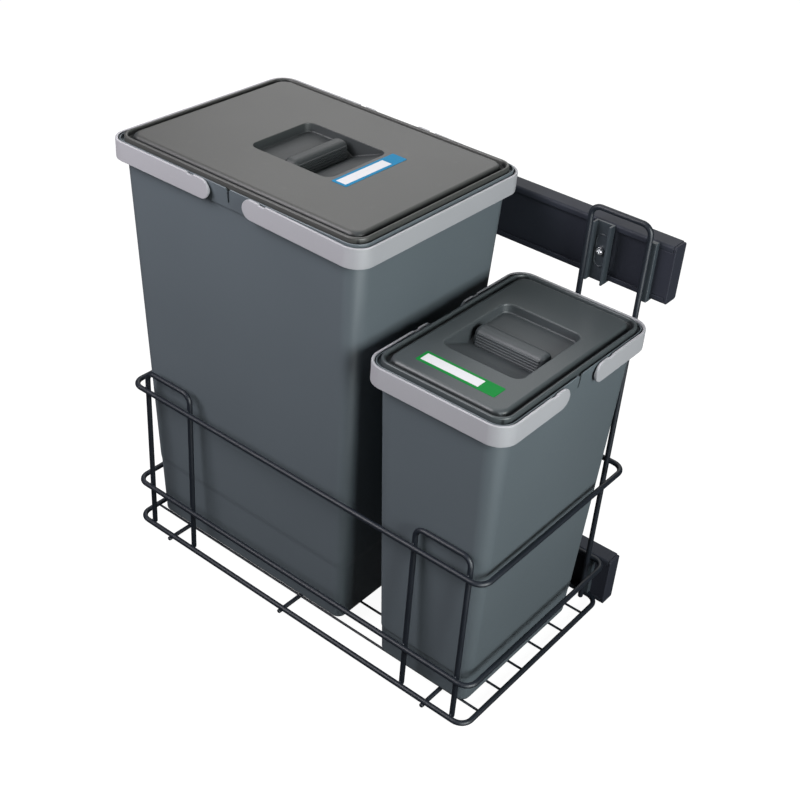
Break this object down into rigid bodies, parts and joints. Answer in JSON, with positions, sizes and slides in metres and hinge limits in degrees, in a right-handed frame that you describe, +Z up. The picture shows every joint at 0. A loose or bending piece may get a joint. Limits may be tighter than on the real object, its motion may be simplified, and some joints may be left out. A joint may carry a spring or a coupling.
{
  "type": "pull out bin frame",
  "caption": "Wire basket frame that pulls out of a kitchen cabinet on side-mounted runners and carries a tall and a short lidded waste bin with folding handles.",
  "frame": {"origin": "centre of the four wall screw holes, on the plane of the cabinet's side wall", "axes": "+X towards the cabinet's side wall, -Y the way the frame pulls out, +Z up"},
  "size_m": [0.2602, 0.4618, 0.4506],
  "materials": {
    "slide_steel": "zinc plated, satin",
    "cage_steel": "passivated, satin",
    "ball_steel": "polished",
    "rail_coat": "satin powder coat",
    "bracket_coat": "satin powder coat",
    "cap_plastic": "moulded, matt",
    "bright_zinc": "bright zinc",
    "wire_coat": "satin powder coat",
    "bin_plastic": "fine moulded grain",
    "handle_plastic": "fine moulded grain",
    "big_lid_plastic": "fine moulded grain",
    "small_lid_plastic": "fine moulded grain",
    "big_label_film": "printed film, blank",
    "small_label_film": "printed film, blank"
  },
  "bodies": {
    "wall_side": {"upper_wall_member": "slide_steel", "lower_wall_member": "slide_steel"},
    "upper_outer_cage": {"upper_outer_cage": "cage_steel", "upper_outer_balls": "ball_steel"},
    "lower_outer_cage": {"lower_outer_cage": "cage_steel", "lower_outer_balls": "ball_steel"},
    "upper_middle": {"upper_middle_member": "slide_steel"},
    "lower_middle": {"lower_middle_member": "slide_steel"},
    "upper_inner_cage": {"upper_inner_cage": "cage_steel", "upper_inner_balls": "ball_steel"},
    "lower_inner_cage": {"lower_inner_cage": "cage_steel", "lower_inner_balls": "ball_steel"},
    "frame": {"upper_inner_member": "slide_steel", "lower_inner_member": "slide_steel", "upper_carrier": "rail_coat", "lower_carrier": "rail_coat", "upper_front_cap": "cap_plastic", "upper_rear_cap": "cap_plastic", "lower_front_cap": "cap_plastic", "lower_rear_cap": "cap_plastic", "upper_front_bracket": "bracket_coat", "upper_rear_bracket": "bracket_coat", "lower_front_bracket": "bracket_coat", "lower_rear_bracket": "bracket_coat", "upper_front_clip": "bracket_coat", "upper_rear_clip": "bracket_coat", "lower_front_clip": "bracket_coat", "lower_rear_clip": "bracket_coat", "clamp_plates": "bright_zinc", "clamp_screws": "bright_zinc", "floor_ring": "wire_coat", "middle_ring": "wire_coat", "top_ring": "wire_coat", "floor_wires": "wire_coat", "cross_wires": "wire_coat", "near_front_hoop": "wire_coat", "near_rear_hoop": "wire_coat", "wall_front_bail": "wire_coat", "wall_rear_bail": "wire_coat"},
    "big_bin": {"big_bin": "bin_plastic"},
    "big_front_handle": {"big_front_handle": "handle_plastic"},
    "big_rear_handle": {"big_rear_handle": "handle_plastic"},
    "big_lid": {"big_lid": "big_lid_plastic", "big_label": "big_label_film"},
    "small_bin": {"small_bin": "bin_plastic"},
    "small_near_handle": {"small_near_handle": "handle_plastic"},
    "small_wall_handle": {"small_wall_handle": "handle_plastic"},
    "small_lid": {"small_lid": "small_lid_plastic", "small_label": "small_label_film"}
  },
  "joints": [
    {"name": "frame_pull", "type": "slide", "parent": "wall_side", "child": "frame", "axis": [0, -1, 0], "range_m": [0, 0.4]},
    {"name": "upper_outer_cage_slide", "type": "slide", "parent": "wall_side", "child": "upper_outer_cage", "axis": [0, -1, 0], "range_m": [0, 0.1]},
    {"name": "upper_middle_slide", "type": "slide", "parent": "wall_side", "child": "upper_middle", "axis": [0, -1, 0], "range_m": [0, 0.2]},
    {"name": "upper_inner_cage_slide", "type": "slide", "parent": "wall_side", "child": "upper_inner_cage", "axis": [0, -1, 0], "range_m": [0, 0.3]},
    {"name": "lower_outer_cage_slide", "type": "slide", "parent": "wall_side", "child": "lower_outer_cage", "axis": [0, -1, 0], "range_m": [0, 0.1]},
    {"name": "lower_middle_slide", "type": "slide", "parent": "wall_side", "child": "lower_middle", "axis": [0, -1, 0], "range_m": [0, 0.2]},
    {"name": "lower_inner_cage_slide", "type": "slide", "parent": "wall_side", "child": "lower_inner_cage", "axis": [0, -1, 0], "range_m": [0, 0.3]},
    {"name": "big_bin_lift", "type": "slide", "parent": "frame", "child": "big_bin", "axis": [0, 0, 1], "range_m": [0, 0.25]},
    {"name": "big_front_handle_hinge", "type": "hinge", "parent": "big_bin", "child": "big_front_handle", "pos_m": [-0.14285, 0.04182, 0.2256], "axis": [-1, 0, 0], "range_deg": [0, 90]},
    {"name": "big_rear_handle_hinge", "type": "hinge", "parent": "big_bin", "child": "big_rear_handle", "pos_m": [-0.14285, 0.12782, 0.2256], "axis": [1, 0, 0], "range_deg": [0, 90]},
    {"name": "big_lid_lift", "type": "slide", "parent": "big_bin", "child": "big_lid", "axis": [0, 0, 1], "range_m": [0, 0.08]},
    {"name": "small_bin_lift", "type": "slide", "parent": "frame", "child": "small_bin", "axis": [0, 0, 1], "range_m": [0, 0.25]},
    {"name": "small_near_handle_hinge", "type": "hinge", "parent": "small_bin", "child": "small_near_handle", "pos_m": [-0.1892, -0.15048, 0.1272], "axis": [0, 1, 0], "range_deg": [0, 90]},
    {"name": "small_wall_handle_hinge", "type": "hinge", "parent": "small_bin", "child": "small_wall_handle", "pos_m": [-0.1032, -0.15048, 0.1272], "axis": [0, -1, 0], "range_deg": [0, 90]},
    {"name": "small_lid_lift", "type": "slide", "parent": "small_bin", "child": "small_lid", "axis": [0, 0, 1], "range_m": [0, 0.045]}
  ],
  "couplings": [
    {"joint": "upper_outer_cage_slide", "follows": "frame_pull", "ratio": 0.25},
    {"joint": "upper_middle_slide", "follows": "frame_pull", "ratio": 0.5},
    {"joint": "upper_inner_cage_slide", "follows": "frame_pull", "ratio": 0.75},
    {"joint": "lower_outer_cage_slide", "follows": "frame_pull", "ratio": 0.25},
    {"joint": "lower_middle_slide", "follows": "frame_pull", "ratio": 0.5},
    {"joint": "lower_inner_cage_slide", "follows": "frame_pull", "ratio": 0.75}
  ]
}
